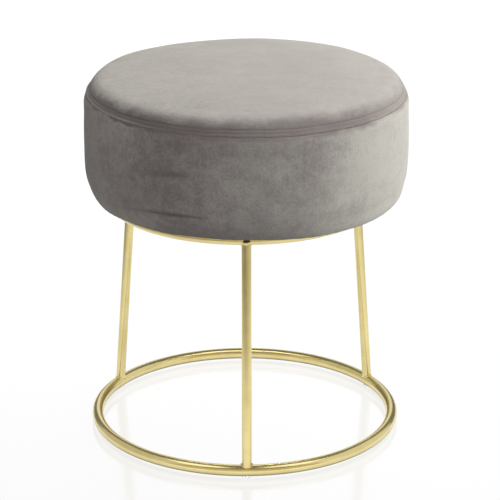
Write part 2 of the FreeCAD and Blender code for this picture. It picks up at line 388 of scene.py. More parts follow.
def swell(piece):
    held = piece.vertex_groups.new(name="held")
    cut_tight = piece.vertex_groups.new(name="cut_tight")
    for i, point in enumerate(points):
        held.add([i], 1 - free[i], "REPLACE")
        softness = on_side[i] * (0.7 + 0.6 * noise.noise(Vector(point) * 11))
        cut_tight.add([i], 1 - min(max(softness, 0), 1), "REPLACE")
    cloth = piece.modifiers.new("Cloth", "CLOTH")
    settings = cloth.settings
    settings.quality = 6
    settings.mass = 0.3
    settings.air_damping = 6
    settings.tension_stiffness = settings.compression_stiffness = 20
    settings.shear_stiffness = 8
    settings.bending_stiffness = 8
    settings.vertex_group_mass = "held"
    settings.vertex_group_shrink = "cut_tight"
    settings.shrink_max, settings.shrink_min = 0.0, -CUT_LARGER
    settings.use_pressure = True
    settings.uniform_pressure_force = PRESSURE
    settings.effector_weights.gravity = 0
    cloth.collision_settings.use_collision = False
    cloth.point_cache.frame_start = 1
    cloth.point_cache.frame_end = SIMULATED_FRAMES
    for step in range(1, SIMULATED_FRAMES + 1):
        scene.frame_set(step)
    take(piece)
    bpy.ops.object.modifier_apply(modifier=cloth.name)
    scene.frame_set(1)
    piece.vertex_groups.clear()


print("points held by seam and tuck:", int((free < 0.5).sum()), "of", len(free))

# %% [markdown]
# ## Keeping the seat at its size
#
# A cap keeps each point near its start, so the seat ends up at its real size, and the shortest
# ripples are levelled, as the foam under real velvet does.

# %% Swell the skin
SWELL_CAP = 3.2           # mm that a point may move
LEVEL_ROUNDS = 5


def levelled(piece, values, rounds):
    """Values of the points, each round drawn halfway to the mean of their neighbours."""
    ends = np.zeros(len(piece.data.edges) * 2, int)
    piece.data.edges.foreach_get("vertices", ends)
    first, second = ends.reshape(-1, 2).T
    count = np.bincount(ends)[:, None]
    for _ in range(rounds):
        total = np.zeros_like(values)
        np.add.at(total, first, values[second])
        np.add.at(total, second, values[first])
        values = values / 2 + total / count / 2
    return values


outward = normals_of(seat)
inside = free * (START_INSIDE[0] * on_side + START_INSIDE[1] * (1 - on_side))
start = points - outward * (inside * MM)[:, None]
set_points(seat, start)
swell(seat)
moved = levelled(seat, points_of(seat) - start, LEVEL_ROUNDS)
length = np.linalg.norm(moved, axis=1)[:, None] + 1e-9
cap = SWELL_CAP * MM
set_points(seat, start + moved / length * cap * np.tanh(length / cap))
swollen = ((points_of(seat) - points) * outward).sum(1) / MM
for part, low, high in (("side", 50, 100), ("crown", 200, 320)):
    here = swollen[(along > low) & (along < high)]
    print(part, "stands", round(here.mean(), 2), "mm off its outline, from",
          round(here.min(), 2), "to", round(here.max(), 2))

# %% [markdown]
# ## The seam
#
# Panel and band meet in a seam near the top edge. It is sewn flat, with a row of stitches 4 mm to
# each side, so three lines run round the seat and the velvet puffs up between them. Hand sewing isn't
# even: the lines wander, the thread is tight here and slack there, and on the left the lower row
# climbs and lies on a ridge. The tight seam also draws the whole edge in. Two rounds of Subdivision
# give the skin enough points, which are then pushed along the surface's own direction, because bump
# alone would leave the real edge of the seat smooth.

# %% Press the seam's lines into the velvet
STITCH_OFFSET = 4.0       # mm from the seam to each row of stitches
SEAM_WANDERS = 0.8        # mm that the sewing strays
SEAM_PULL = 1.0           # mm that the tight seam draws the edge in
SEAM_REACH = 7.0          # mm to each side that it pulls
ROW_RISES = 2.2           # mm that the lower row of stitches climbs on the left
LEFT_RIDGE = 0.6          # mm that this row stands out there
PUFFS = 0.09              # mm that the velvet stands out between the lines
LEFT_FROM = (60, 130)     # mm left of the middle where the left part begins
RIGHT_FROM = (20, 90)


def noise_round(angles, scale, level):
    """Smooth noise round the seat, which meets itself after a full turn."""
    circle = (Vector((scale * math.cos(a), scale * math.sin(a), level)) for a in angles)
    return np.array([noise.noise(point) for point in circle])


apply_modifier(seat, "SUBSURF", levels=2, render_levels=2)
points = points_of(seat)
along = stored(seat, "along")
angle = np.arctan2(points[:, 1], points[:, 0])
to_right = points[:, 0] / MM
left = ease(-to_right, *LEFT_FROM)
right = ease(to_right, *RIGHT_FROM)
from_seam = along - SEAM_AT - SEAM_WANDERS * noise_round(angle, 9, 0.7)
aside = np.abs(from_seam)
from_lower = from_seam + STITCH_OFFSET - ROW_RISES * left
from_upper = from_seam - STITCH_OFFSET
tension = np.clip(0.55 + 1.3 * noise_round(angle, 6, 0.3), 0.1, 1.2)

middle_depth = 0.06 * tension * (1 - 0.85 * right) * (1 - left)
upper_depth = 0.27 * tension * (1 - 0.4 * right) + 0.40 * left + 0.16 * right
lower_depth = 0.34 * tension * (1 - left) + 0.32 * right
push = -middle_depth * hump(from_seam, 0.8)
push -= upper_depth * hump(from_upper, 0.75)
push -= lower_depth * hump(from_lower, 0.65)
push += LEFT_RIDGE * left * hump(from_lower, 0.95)
push += PUFFS * (hump(aside - 2.1, 1.0) + hump(aside - 6.2, 1.6)) * (1 - left)
push -= SEAM_PULL * hump(from_seam, SEAM_REACH)
print("seam lines pressed in by up to", round(-push.min(), 2), "mm")

# %% [markdown]
# ## The band's own seam and its folds
#
# The band's two ends meet in one upright seam at the back. Low on the left the band has a short flat
# fold with a weaker tail to its right, and two fainter ones lie beside and above it, where spare
# velvet was laid over. Each is a groove with a soft swelling above. A second attribute remembers the
# grooves, so that the finish can paint shade into them.

# %% Add the back seam and the folds
BACK_SEAM = math.radians(90)
BACK_GROOVE = 1.0         # mm deep, with the turned-in edges standing out beside it
BACK_EDGES = 0.35
FOLDS = [
    # degrees from the front, half length in degrees, height, rise to the right, depth, width in mm
    (-29.5, 7.0, 290.4, 1.0, 0.95, 1.8),
    (-21.0, 6.5, 290.9, 0.2, 0.65, 1.5),
    (-28.5, 9.0, 333.5, 2.3, 0.52, 3.4),
    (-41.0, 6.0, 287.5, 1.8, 0.35, 1.8),
]

turn = (angle - BACK_SEAM + math.pi) % (2 * math.pi) - math.pi
from_back = turn * np.hypot(points[:, 0], points[:, 1]) / MM
on_band = ease(along, 4, 10) * (1 - ease(along, 127, 131))
edges = BACK_EDGES * hump(np.abs(from_back) - 4.5, 2.5)
push += on_band * (edges - BACK_GROOVE * hump(from_back, 1.6))

from_front = (np.degrees(angle) + 90 + 180) % 360 - 180
# The groove of each fold, where the finish paints shade.
fold_shade = np.zeros(len(points))
for middle, half_length, level, rise, depth, width in FOLDS:
    across = (from_front - middle) / half_length
    above = points[:, 2] / MM - level - rise * across
    here = np.exp(-(across**4)) * on_band
    push += here * depth * (0.4 * hump(above - 2 * width, 1.4 * width) - hump(above, width))
    fold_shade += here * depth * hump(above, 1.05 * width)
store(seat, "fold_shade", np.clip(fold_shade, 0, 1))
print("folds:", len(FOLDS), "deepest:", round(fold_shade.max(), 2), "mm")

# %% [markdown]
# ## The tuck and the padding
#
# Under the seat the band is gathered in small pleats where it is pulled in. The padding isn't even
# either: it sits 2 mm to the right of the drum, the lower corner is fuller on the right, and the top
# is fuller towards its sides. A slow noise adds the faint unevenness of foam under velvet.

# %% Gather the tuck and pad the seat
GATHERS = 84
GATHER_DEPTH = 0.2        # mm
PADDED_RIGHT = 2.0        # mm that the padding sits to the right of the drum
LOW_FULLER = (0.6, 3.0)   # mm of padding all round the lower corner, and more on the right
FOAM_UNEVEN = 0.35        # mm

near_tuck = ease(along, -6, 2) * (1 - ease(along, 5, 22))
waves = np.sin(GATHERS * angle + 2.2 * np.sin(7 * angle) + 1.3 * np.sin(17 * angle))
push += near_tuck * GATHER_DEPTH * waves

low = ease(along, 3, 11) * (1 - ease(along, 18, 36))
push += low * (LOW_FULLER[0] + LOW_FULLER[1] * ease(to_right, -15, 100))
top_fuller = 1.2 + 1.0 * np.clip(to_right / 100, -1, 1)
top_fuller += 1.9 * ease(-to_right, 55, 140) - 0.8 * ease(to_right, 95, 140)
push += ease(along, 138, 152) * top_fuller

places = [Vector(point) for point in points]
soft = np.array([noise.noise(p * 22) + 0.5 * noise.noise(p * 55) for p in places])
push += FOAM_UNEVEN * soft * ease(aside, 6, 16) * ease(along, 2, 14)
points += normals_of(seat) * (push * MM)[:, None]
points[:, 0] += PADDED_RIGHT * ease(along, 4, 34) * MM
set_points(seat, points)
print("skin:", len(points), "points, pushed", round(push.min(), 2), "to", round(push.max(), 2), "mm")

# %% [markdown]
# ## Closing the inside
#
# The wooden drum stays a CAD part, so the seat is hollow where the drum is. The open hem is extruded
# up by the velvet's thickness, out to the drum's wall, up along it, and closed with a flat face that
# lies on the drum's top board.

# %% Close the seat round the drum
DRUM_WALL = 158.45        # mm, just outside the wooden hoop
DRUM_TOP = 354.5
BOARD_UNDERSIDE = 266.3
VELVET_THICKNESS = 1.2

edit_selected(seat, "EDGE", lambda edge: edge.is_boundary)
bpy.ops.mesh.extrude_region_move(
    TRANSFORM_OT_translate={"value": (0, 0, VELVET_THICKNESS * MM)}
)
bpy.ops.mesh.extrude_region_move()
spread = DRUM_WALL / (TUCK[0] + HEM)
bpy.ops.transform.resize(value=(spread, spread, 1), center_override=(0, 0, BOARD_UNDERSIDE * MM))
bpy.ops.mesh.extrude_region_move(
    TRANSFORM_OT_translate={"value": (0, 0, (DRUM_TOP - BOARD_UNDERSIDE) * MM)}
)
bpy.ops.mesh.edge_face_add()
tidy_mesh(seat, 50)
open_edges = edit_selected(seat, "EDGE", lambda edge: not edge.is_manifold)
bpy.ops.object.mode_set(mode="OBJECT")
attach(seat, "root")
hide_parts("top_cover", "side_band", "seat_foam_pad", "side_foam_wrap")
print("seat faces:", len(seat.data.polygons), "open edges:", open_edges)

# %% [markdown]
# ## One stitch
#
# Each stitch is a short piece of thread that comes up out of the velvet and goes down again, like a
# grain of rice lying in its groove. A painted line could stand for it, but only a real piece catches
# the light and shows at the seat's edge. One is modelled at the front, from a small ball that is
# stretched and has its two ends pushed in.

# %% Model one stitch
STITCH_PITCH = 3.6
STITCH_LENGTH = 2.9
STITCH_DIVES = 0.35       # mm that both ends go down
STITCH_SUNK = 0.42        # mm that the thread lies below the outline
THREAD = 0.62


def outline_normal(distance):
    (r0, z0), (r1, z1) = outline_point(distance - 0.1), outline_point(distance + 0.1)
    out = Vector((z1 - z0, 0, r0 - r1)).normalized()
    return out.x, out.z


def stitch_count(distance):
    return round(2 * math.pi * outline_point(distance)[0] / STITCH_PITCH)


def one_stitch(name, distance, sunk):
    """A stitch at the front, at a distance along the outline, sunk into the velvet."""
    r, z = outline_point(distance)
    out_r, out_z = outline_normal(distance)
    place = Vector((0, -(r - sunk * out_r), z - sunk * out_z)) * MM
    stitch = new_piece(
        name, bpy.ops.mesh.primitive_uv_sphere_add,
        segments=6, ring_count=6, radius=THREAD / 2 * MM, location=place,
        rotation=(0, math.pi / 2, 0),
    )
    bpy.ops.object.transform_apply(location=True, rotation=True, scale=True)
    edit_selected(stitch, "VERT", lambda vertex: True)
    bpy.ops.transform.resize(value=(STITCH_LENGTH / THREAD, 1, 1), center_override=place)
    edit_selected(stitch, "VERT", lambda vertex: abs(vertex.co.x) > STITCH_LENGTH * 0.4 * MM)
    dive = STITCH_DIVES * MM
    bpy.ops.transform.translate(value=(0, out_r * dive, -out_z * dive))
    bpy.ops.object.mode_set(mode="OBJECT")
    bpy.ops.object.shade_smooth()
    return stitch


print("stitches in the upper row:", stitch_count(SEAM_AT + STITCH_OFFSET))

# %% [markdown]
# ## Two rows of stitches
#
# A sewing machine repeats the same stitch all the way round, and so does an Array that turns round an
# empty, with one mesh for each row. The lower row then climbs on the left, with its line in the
# velvet.

# %% Sew two rows of stitches
def stitch_row(name, distance, sunk, rises):
    """A ring of stitches that climbs on the left."""
    row = one_stitch(name, distance, sunk)
    count = stitch_count(distance)
    clear_selection()
    bpy.ops.object.empty_add(rotation=(0, 0, 2 * math.pi / count))
    pivot = bpy.context.object
    apply_modifier(
        row, "ARRAY", count=count, use_relative_offset=False,
        use_object_offset=True, offset_object=pivot,
    )
    bpy.data.objects.remove(pivot)
    places = points_of(row)
    places[:, 2] += rises * ease(-places[:, 0] / MM, *LEFT_FROM) * MM
    places[:, 0] += PADDED_RIGHT * MM
    set_points(row, places)
    return row


sunk = STITCH_SUNK + SEAM_PULL * float(hump(STITCH_OFFSET, SEAM_REACH))
upper_row = stitch_row("stitches_above_seam", SEAM_AT + STITCH_OFFSET, sunk, 0.0)
lower_row = stitch_row("stitches_below_seam", SEAM_AT - STITCH_OFFSET, sunk, ROW_RISES)
for row in (upper_row, lower_row):
    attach(row, "root")
    print(row.name, "faces:", len(row.data.polygons))

# %% [markdown]
# ## Welds at the legs' ends
#
# Each leg is cut to the round of its ring and welded on all sides, and the weld is plated over with
# the rest. A Bevel can't make it, because leg and ring are separate pieces. Instead, a ball that
# rolls along the saddle line where the two meet, touching both tubes, says how wide the bead is. At
# the head, the weld was drawn across the front of the top ring too, and a lip of metal stays there,
# higher towards the right.

# %% Measure where the welds go
LEG_RADIUS = 5.1
BASE_RING = (164.25, 7.75, 6.25)      # ring's radius, height and tube radius in mm
TOP_RING = (143.75, 259.1, 5.4)
# The lip: mm down the leg from the ring's middle, and mm proud of the tubes.
HEAD_LIP = ((5.4, -0.1), (4.6, 0.9), (3.6, 2.0), (2.6, 2.8), (1.9, 3.0),
            (1.2, 2.6), (0.0, 1.5), (-1.3, 0.6), (-2.6, -0.1))
LIP_CLIMBS = (3.6, 1.2)   # mm that the lip climbs towards the right and towards the left

foot = np.array((0, -BASE_RING[0], BASE_RING[1]))
head = np.array((0, -TOP_RING[0], TOP_RING[1]))


def nearest_on_ring(point, ring):
    flat = np.hypot(point[0], point[1])
    return np.array((point[0] * ring[0] / flat, point[1] * ring[0] / flat, ring[1]))


def roll_ball(origin, axis, side, ring, ball):
    """Centre of a ball that touches the leg on one side and also touches the ring."""
    low, high = 0.0, 40.0
    for _ in range(50):
        middle = (low + high) / 2
        centre = origin + axis * middle + side * (LEG_RADIUS + ball)
        if np.linalg.norm(centre - nearest_on_ring(centre, ring)) < ring[2] + ball:
            low = middle
        else:
            high = middle
    return centre


def lip_row(origin, axis, side, ring):
    """Points of one row of the lip, over whichever tube stands further out there."""
    climb = LIP_CLIMBS[0] if side[0] > 0 else LIP_CLIMBS[1]
    row = []
    for down, proud in HEAD_LIP:
        down -= climb * abs(side[0]) ** 1.2
        tube = math.sqrt(max(ring[2] ** 2 - down**2, 0.0)) / max(-side[1], 0.5)
        row.append(origin + axis * down + side * (max(LEG_RADIUS, tube) + proud))
    return row


print("leg from foot to head:", round(float(np.linalg.norm(head - foot)), 1), "mm")

# %% [markdown]
# ## Laying the beads
#
# A torus already has the right make-up for a bead: rows of points that run round a tube. Each row is
# moved to the saddle line. The bead stands out a little, and fine ripples show how the welder's hand
# went round. One bead is made for each leg and turned to its place.

# %% Lay the weld beads
BEAD_SIZE = {"foot": (1.7, 0.7), "head": (1.1, 0.3)}   # rolling ball, and how far the bead stands out
BEAD_ROWS = 96
BEAD_OUTSIDE = len(HEAD_LIP)
BEAD_SIDES = BEAD_OUTSIDE + 3
BURIED = 0.6              # mm that the bead's inside goes into each tube
BEAD_ROOT = 0.9           # mm that its root goes in between them
RIPPLES = ((0.10, 24, 1), (0.06, 7, 2))   # height in mm, number round the leg, shift
LIP_IN_FRONT = (0.69, 0.93)               # how squarely a row faces the front, from bead to lip
LEG_NAMES = ("front", "rear_right", "rear_left")


def bead_row(origin, axis, side, ring, ball, crown, lip):
    """Points of one row: from the leg round the bead's outside to the ring, and back inside."""
    centre = roll_ball(origin, axis, side, ring, ball)
    core = nearest_on_ring(centre, ring)
    to_leg = -side
    to_ring = (core - centre) / np.linalg.norm(core - centre)
    row = []
    for i, in_lip in enumerate(lip_row(origin, axis, side, ring)):
        t = i / (BEAD_OUTSIDE - 1)
        toward = to_leg * (1 - t) + to_ring * t
        in_bead = centre + toward * (ball - math.sin(math.pi * t) * crown)
        row.append(in_bead * (1 - lip) + in_lip * lip)
    deep_leg = row[0] + to_leg * BURIED
    deep_ring = row[-1] + to_ring * BURIED
    root = (row[0] + row[-1]) / 2 + (to_leg + to_ring) * BEAD_ROOT
    return row + [deep_ring, root, deep_leg]


def weld_bead(name, origin, target, ring, size, phase):
    axis = (target - origin) / np.linalg.norm(target - origin)
    across = np.array((1.0, 0, 0))
    other = np.cross(axis, across)
    ball, crown = size
    bead = new_piece(
        name, bpy.ops.mesh.primitive_torus_add,
        major_segments=BEAD_ROWS, minor_segments=BEAD_SIDES,
        major_radius=LEG_RADIUS * MM, minor_radius=ball * MM,
    )
    places = []
    for i in range(BEAD_ROWS):
        turn = 2 * math.pi * i / BEAD_ROWS
        side = across * math.cos(turn) + other * math.sin(turn)
        ripple = sum(high * math.sin(n * turn + shift * phase) for high, n, shift in RIPPLES)
        lip = float(ease(-side[1], *LIP_IN_FRONT)) if ring == TOP_RING else 0.0
        places += bead_row(origin, axis, side, ring, ball, crown + ripple, lip)
    set_points(bead, np.array(places) * MM)
    tidy_mesh(bead, 60)
    return bead


for place, origin, target, ring in (
    ("foot", foot, head, BASE_RING), ("head", head, foot, TOP_RING)
):
    for i, leg in enumerate(LEG_NAMES):
        bead = weld_bead(f"weld_{place}_{leg}", origin, target, ring, BEAD_SIZE[place], 1.3 * i)
        bead.data.transform(Matrix.Rotation(math.radians(120 * i), 4, "Z"))
        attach(bead, "root")
    print("welds at the", place, "of", len(LEG_NAMES), "legs:", len(bead.data.polygons), "faces each")

# %% [markdown]
# ## The cloth under the seat
#
# A thin white cloth hides the board and the ends of the velvet. It is a round cut, held by staples,
# and it hangs a little inside their ring. A circle is closed with Grid Fill, subdivided, and let down
# by a small sag with pulls towards the staples. A simulation could do that too, but so small a sag is
# quicker to work out directly. Solidify then gives it thickness.

# %% Stretch the dust cloth
CLOTH_RADIUS = 145.6
CLOTH_Z = 264.85
CLOTH_THICKNESS = 0.5
CLOTH_SAG = 2.2           # mm in the middle
CLOTH_FOLDS = 0.5
STAPLE_PULLS = 0.25
STAPLES = 27              # places round the edge

dust_cloth = new_piece(
    "dust_cloth", bpy.ops.mesh.primitive_circle_add,
    vertices=96, radius=CLOTH_RADIUS * MM, location=(0, 0, CLOTH_Z * MM),
)
bpy.ops.object.transform_apply(location=True)
edit_selected(dust_cloth, "EDGE", lambda edge: True)
bpy.ops.mesh.fill_grid(span=24)
bpy.ops.mesh.select_all(action="SELECT")
bpy.ops.mesh.subdivide(number_cuts=2)
bpy.ops.object.mode_set(mode="OBJECT")
points = points_of(dust_cloth)
r = np.hypot(points[:, 0], points[:, 1]) / MM
angle = np.arctan2(points[:, 1], points[:, 0])
pulls = np.cos(STAPLES * angle) * ease(r, 60, 100) * (1 - ease(r, 112, 130))
folds = np.array([noise.noise(Vector(p) * 30) for p in points])
drop = CLOTH_SAG * (1 - ease(r, 40, 104)) + CLOTH_FOLDS * folds * (1 - ease(r, 90, 108))
drop += STAPLE_PULLS * pulls * (1 - ease(r, 100, 110))
points[:, 2] -= drop * MM
set_points(dust_cloth, points)
apply_modifier(dust_cloth, "SOLIDIFY", thickness=CLOTH_THICKNESS * MM, offset=0)
tidy_mesh(dust_cloth, 60)
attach(dust_cloth, "root")
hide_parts("dust_cover")
print("dust cloth faces:", len(dust_cloth.data.polygons), "sag:", round(drop.max(), 1), "mm")

# %% [markdown]
# ## One staple
#
# A staple is a flat wire with a straight back and two bent ends that go into the board. A curve with
# a profile could make it, but the flat faces of a cube suit a flat wire better: it is stretched to
# the back's size, its two ends are extruded upwards, and its edges are bevelled.

# %% Model one staple
STAPLE_RADIUS = 135.3
STAPLE_BACK = 9.0
STAPLE_WIRE = (1.2, 0.65) # width and thickness in mm
STAPLE_BEND = 0.5         # mm that the ends of the back turn up
STAPLE_LEG = 0.6
STAPLE_BEVEL = 0.12


def one_staple(name):
    back_z = CLOTH_Z - CLOTH_THICKNESS / 2 - STAPLE_WIRE[1] / 2
    piece = new_piece(
        name, bpy.ops.mesh.primitive_cube_add, size=1,
        location=(0, -STAPLE_RADIUS * MM, back_z * MM),
        scale=(STAPLE_BACK * MM, STAPLE_WIRE[0] * MM, STAPLE_WIRE[1] * MM),
    )
    bpy.ops.object.transform_apply(location=True, rotation=True, scale=True)
    edit_selected(piece, "EDGE", lambda edge: edge.calc_length() > STAPLE_BACK * 0.9 * MM)
    bpy.ops.mesh.subdivide(number_cuts=6)
    reach = STAPLE_BACK / 2 * MM
    edit_selected(piece, "VERT", lambda vertex: abs(vertex.co.x) > reach - TINY)
    bpy.ops.transform.translate(value=(0, 0, STAPLE_BEND * MM))
    edit_selected(
        piece, "FACE",
        lambda face: face.normal.z > 0.3 and abs(face.calc_center_median().x) > reach * 0.85,
    )
    bpy.ops.mesh.extrude_region_move(TRANSFORM_OT_translate={"value": (0, 0, STAPLE_LEG * MM)})
    bpy.ops.object.mode_set(mode="OBJECT")
    apply_modifier(piece, "BEVEL", width=STAPLE_BEVEL * MM, segments=2, limit_method="ANGLE")
    tidy_mesh(piece, 50)
    return piece


first = one_staple("staples")
print("one staple:", len(first.data.polygons), "faces")

# %% [markdown]
# ## A ring of staples
#
# Staples are shot in by hand, so they stand round the cloth's edge at even steps but none is quite
# straight. Copies of the one staple are tilted, turned to their places and joined. Where a metal tab
# is in the way, there is none.

# %% Set the staples
STAPLE_TILT = 3.5         # degrees at most
TAB_ANGLES = (-90, 30, 150)
TAB_KEEPS = 8             # degrees that each tab takes to both sides

copies = []
for i in range(STAPLES):
    place = -90 + 360 * (i + 0.5) / STAPLES
    if any(abs((place - tab + 180) % 360 - 180) < TAB_KEEPS for tab in TAB_ANGLES):
        continue
    copy = first.copy()
    copy.data = first.data.copy()
    scene.collection.objects.link(copy)
    tilt = math.radians(STAPLE_TILT * math.sin(5.1 * i))
    centre = Matrix.Translation((0, -STAPLE_RADIUS * MM, 0))
    copy.data.transform(centre @ Matrix.Rotation(tilt, 4, "Z") @ centre.inverted())
    copy.data.transform(Matrix.Rotation(math.radians(place + 90), 4, "Z"))
    copies.append(copy)
take(copies[0])
for copy in copies:
    copy.select_set(True)
bpy.ops.object.join()
bpy.data.objects.remove(first)
staples = bpy.context.object
staples.name = staples.data.name = "staples"
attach(staples, "root")
print("staples:", len(copies), "faces:", len(staples.data.polygons))

# %% [markdown]
# ## Writing finishes as sums
#
# A finish is a network of nodes. Building it by hand means many lines of links, so one small class
# wraps a node's output and lets Python write the maths: `1 - mask * 0.5` makes the Math nodes. Every
# other node comes from one method: its type, its settings, then its sockets.

# %% A wrapper for node sockets
class Wire:
    """A node's output in a node tree, or with no output the tree itself."""

    def __init__(self, tree, output=None):
        self.tree, self.output = tree, output

    def node(self, kind, settings=None, sockets=None, out=0):
        made = self.tree.nodes.new(kind)
        for key, value in (settings or {}).items():
            setattr(made, key, value)
        for key, value in (sockets or {}).items():
            if isinstance(value, Wire):
                self.tree.links.new(value.output, made.inputs[key])
            else:
                made.inputs[key].default_value = value
        return Wire(self.tree, made.outputs[out] if len(made.outputs) else None)

    def maths(self, operation, first, second=0.0):
        return self.node("ShaderNodeMath", {"operation": operation}, {0: first, 1: second})

    def __add__(self, other):
        return self.maths("ADD", self, other)

    def __radd__(self, other):
        return self.maths("ADD", other, self)

    def __sub__(self, other):
        return self.maths("SUBTRACT", self, other)

    def __rsub__(self, other):
        return self.maths("SUBTRACT", other, self)

    def __mul__(self, other):
        return self.maths("MULTIPLY", self, other)

    def __rmul__(self, other):
        return self.maths("MULTIPLY", other, self)

    def size(self):
        return self.maths("ABSOLUTE", self)

    def axes(self, names):
        """These coordinates' X, Y or Z, each by itself."""
        return [self.node("ShaderNodeSeparateXYZ", {}, {"Vector": self}, out=n) for n in names]

    def ray(self, kind):
        """1 where the light path is of this kind."""
        return self.node("ShaderNodeLightPath", out=kind)

    def ranged(self, low, high, new_low=0.0, new_high=1.0):
        """This value eased from one range to another."""
        return self.node(
            "ShaderNodeMapRange", {"interpolation_type": "SMOOTHSTEP"},
            {"Value": self, "From Min": low, "From Max": high,
             "To Min": new_low, "To Max": new_high},
        )

    def blend(self, first, second):
        """Two colours mixed by this value."""
        return self.node(
            "ShaderNodeMix", {"data_type": "RGBA", "clamp_factor": True},
            {0: self, 6: first, 7: second}, out=2,
        )

    def noise(self, scale, detail=2.0, roughness=0.5, stretch=(1, 1, 1)):
        """Noise over these coordinates, with features of 1/scale, drawn out along an axis."""
        place = self.node("ShaderNodeMapping", {}, {"Vector": self, "Scale": stretch})
        return self.node(
            "ShaderNodeTexNoise", {"noise_dimensions": "3D"},
            {"Vector": place, "Scale": scale, "Detail": detail, "Roughness": roughness},
        )

    def bump(self, strength, depth):
        """A surface with this value as its height, and its depth in mm."""
        sockets = {"Strength": strength, "Distance": depth * MM, "Height": self}
        return self.node("ShaderNodeBump", {}, sockets)


print("wire class ready")

# %% [markdown]
# ## From nodes to finishes
#
# What varies over a surface comes from a function that gets the object's own coordinates, and what is
# the same all over is set straight on the shader.

# %% Helpers for finishes
def finish_of(name, pattern, constants=None):
    """A material: pattern gives what varies, the constants go straight on the shader."""
    material = bpy.data.materials.new(name)
    material.use_nodes = True
    material.node_tree.nodes.clear()
    tree = Wire(material.node_tree)
    varying = pattern(tree.node("ShaderNodeTexCoord", out="Object"))
    shader = tree.node("ShaderNodeBsdfPrincipled", {}, {**(constants or {}), **varying})
    tree.node("ShaderNodeOutputMaterial", {}, {"Surface": shader})
    return material


def put_on(finish, *pieces):
    for piece in pieces:
        piece.data.materials.clear()
        piece.data.materials.append(finish)


def rgb(red, green, blue):
    """A colour as a screen shows it (0 to 255), turned to the linear light that shaders use."""
    def linear(c):
        c /= 255
        return c / 12.92 if c <= 0.04045 else ((c + 0.055) / 1.055) ** 2.4
    return (linear(red), linear(green), linear(blue), 1.0)


print("white in linear light:", rgb(255, 255, 255))

# %% [markdown]
# ## Velvet: the pile
#
# Velvet is a dense pile of short upright threads. Seen straight on it looks deep and dark; seen along
# the surface, or with light raking over it, the thread tips shine. A picture of velvet could be
# wrapped round the seat, but it would repeat and stretch, so noise makes the pile, from patches as
# large as a hand down to single threads. Masks from the object's own coordinates and from the stored
# distance along the outline say where on the seat a point lies.

# %% Parts of the seat and sizes of the pile
def seat_parts(place):
    """Masks of the seat's parts, from mm along the outline and metres to the right."""
    along = place.node("ShaderNodeAttribute", {"attribute_name": "along"}, out="Fac")
    x, y = place.axes("XY")
    return SimpleNamespace(
        along=along, x=x, y=y,
        left=x.ranged(-0.13, -0.06, 1.0, 0.0),
        right=x.ranged(0.06, 0.15),
        middle=x.ranged(-0.11, -0.05) * x.ranged(0.03, 0.08, 1.0, 0.0),
        shady=x.ranged(-0.10, 0.02, 1.0, 0.0),
        low=1 - along.ranged(10, 40),
    )


def velvet_pile(place):
    """Noise from coarse to fine."""
    return SimpleNamespace(
        patches=place.noise(10, 3, 0.55).ranged(0.36, 0.64),
        smears=place.noise(34, 4, 0.6, stretch=(1, 1, 1.6)).ranged(0.36, 0.64),
        marks=place.noise(130, 3, 0.65).ranged(0.34, 0.66),
        streaks=place.noise(170, 2, 0.6, stretch=(1, 1, 0.07)).ranged(0.30, 0.70),
        tufts=place.noise(380, 3, 0.75).ranged(0.32, 0.68),
        threads=place.noise(1300, 2, 0.7).ranged(0.3, 0.7),
    )


print("pile helpers ready")

# %% [markdown]
# ## Velvet: the nap
#
# Where a hand has brushed the pile the other way the shade changes, in soft patches and in streaks
# along the nap. Light and shade are painted in as well: the right side and both low corners are
# painted pale where light falls, the middle low down is painted deeper, and the left side, in painted
# shade, lies deep, a little warmer and more mottled. The nap is one number, 0 for deep and 1 for pale,
# which mixes two colours.

# %% How the nap lies, with painted light and shade
def nap_with_painted_light(at, pile, on_top):
    # Painted light and shade: the right side and both low corners are painted pale, the low middle
    # deeper.
    painted_light_and_shade = at.right * 0.55 + at.low * (at.left * 0.8 + at.right * 0.4 - at.middle * 0.3)
    fine = pile.marks * 0.20 + pile.tufts * 0.28 + pile.streaks * 0.08 + pile.threads * 0.22
    nap = pile.patches * 0.34 + pile.smears * 0.20 - 0.27
    # Mottling is stronger on the left side, in painted shade.
    nap = nap + (fine - 0.39) * (1 + at.shady * 0.9)
    nap = nap * (1 - on_top * 0.5) + 0.5 + (painted_light_and_shade * (1 - on_top) - on_top * 0.06)
    # On the left side, in painted shade, both colours are a little warmer.
    out_of_painted_shade = 1 - at.shady * (1 - on_top)
    deep = out_of_painted_shade.blend(rgb(99, 81, 90), rgb(94, 83, 86))
    pale = out_of_painted_shade.blend(rgb(155, 145, 143), rgb(152, 150, 144))
    return nap.blend(deep, pale)


print("nap helper ready")

# %% [markdown]
# ## Velvet: painted shade at the sewn edge
#
# Along the rounded upper edge lies a ragged dark rim of painted shade. The two sewn lines are darkened
# in it, and on the right, where light falls along the line, the needle's holes show as dots of painted
# shade. On the left the lower row is spared, so its ridge shows as a light line. The lines are pressed
# into the mesh already; the finish only paints shade into them.

# %% Painted shade of the sewn edge
def painted_seam_shade(at, pile, ragged):
    from_seam = at.along - SEAM_AT
    lower = 1 - (from_seam + STITCH_OFFSET - at.left * ROW_RISES).size().ranged(0.2, 1.3)
    upper = 1 - (from_seam - STITCH_OFFSET).size().ranged(0.2, 1.3)
    # Painted shade: the two sewn lines, and on the right dots at the needle's holes.
    stitches = at.y.maths("ARCTAN2", at.y, at.x) * stitch_count(SEAM_AT + STITCH_OFFSET)
    painted_hole_shade = stitches.maths("SINE", stitches).ranged(-0.3, 0.5, 0.0, 0.5)
    painted_groove_shade = upper * (0.08 + at.right * painted_hole_shade) + lower * (0.12 - at.left * 0.12)
    # Painted shade in a ragged band along the rounded upper edge; on the left the lower row's ridge is
    # spared and shows light.
    painted_rim_shade = ragged.ranged(at.left * 6 + 122, 131) * (1 - ragged.ranged(138, 154 - at.left * 7))
    painted_rim_shade = painted_rim_shade * (1 - lower * at.left)
    return painted_groove_shade + painted_rim_shade * (0.67 + 0.25 * pile.patches + 0.16 * at.right + 0.10 * at.left)


print("sewn edge helper ready")
